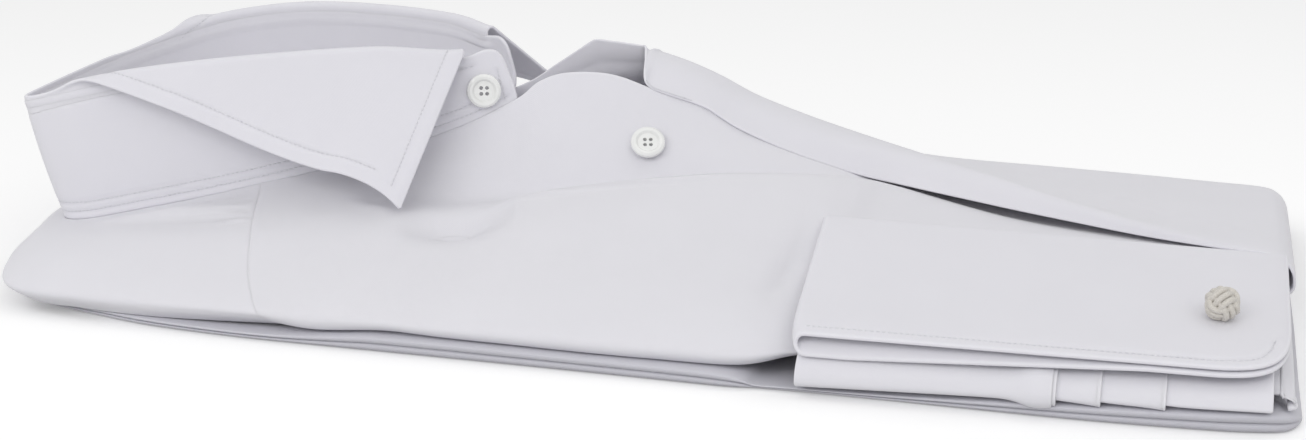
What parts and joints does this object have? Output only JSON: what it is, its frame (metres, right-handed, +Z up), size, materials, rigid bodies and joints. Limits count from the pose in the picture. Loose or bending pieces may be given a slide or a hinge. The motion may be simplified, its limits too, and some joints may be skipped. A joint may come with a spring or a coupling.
{
  "type": "folded long sleeve dress shirt",
  "caption": "Long sleeve dress shirt folded flat, with an open spread collar, a buttoned front and a double cuff with a silk knot on top.",
  "frame": {"origin": "middle of the folded shirt's underside, on the surface it lies on", "axes": "+X from the collar to the hem fold, +Y to the wearer's left side, +Z up from the surface"},
  "size_m": [0.4217, 0.2379, 0.083],
  "materials": {
    "shirting": "white cotton poplin, fine plain weave, a faint sheen",
    "fused_cloth": "white cotton poplin over fusing: smoother and stiffer",
    "button": "pearl white, polished",
    "silk_cord": "off white silk cord in a tight knot"
  },
  "bodies": {
    "root": {"collar_band": "fused_cloth", "collar_leaf": "fused_cloth", "yoke": "shirting", "right_front": "shirting", "left_front": "shirting", "left_placket": "fused_cloth", "hidden_folds": "shirting", "right_sleeve": "shirting", "cuff_outer": "fused_cloth", "cuff_inner": "fused_cloth", "front_button": "button", "collar_button": "button", "cuff_knot": "silk_cord"}
  },
  "joints": []
}
